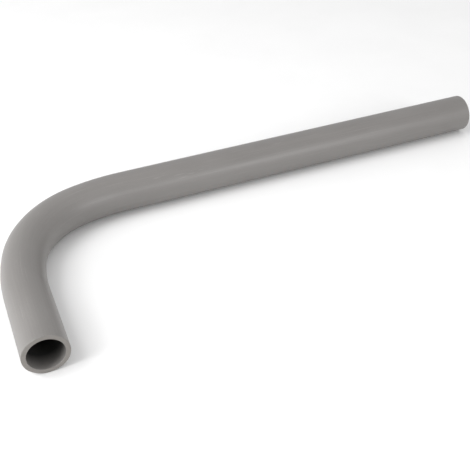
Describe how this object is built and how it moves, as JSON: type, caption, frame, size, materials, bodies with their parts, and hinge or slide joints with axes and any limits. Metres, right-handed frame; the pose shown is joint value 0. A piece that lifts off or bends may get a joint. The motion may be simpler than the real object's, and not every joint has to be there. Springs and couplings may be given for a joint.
{
  "type": "conduit elbow",
  "caption": "Rigid grey plastic tube bent through a right angle, with a short leg, a long leg and plain square-cut ends, that carries electrical cables round a corner.",
  "frame": {"origin": "centre of the short leg's open end, on the tube's centre line", "axes": "+Y from the origin up the short leg into the bend; +X along the long leg towards its open end; +Z square to the plane of the bend"},
  "size_m": [0.3477, 0.1362, 0.025],
  "materials": {
    "pvc": "satin-matt grey PVC-U as extruded, with fine lengthwise die lines, saw-cut end faces and slight handling marks"
  },
  "bodies": {
    "root": {"elbow_tube": "pvc"}
  },
  "joints": []
}
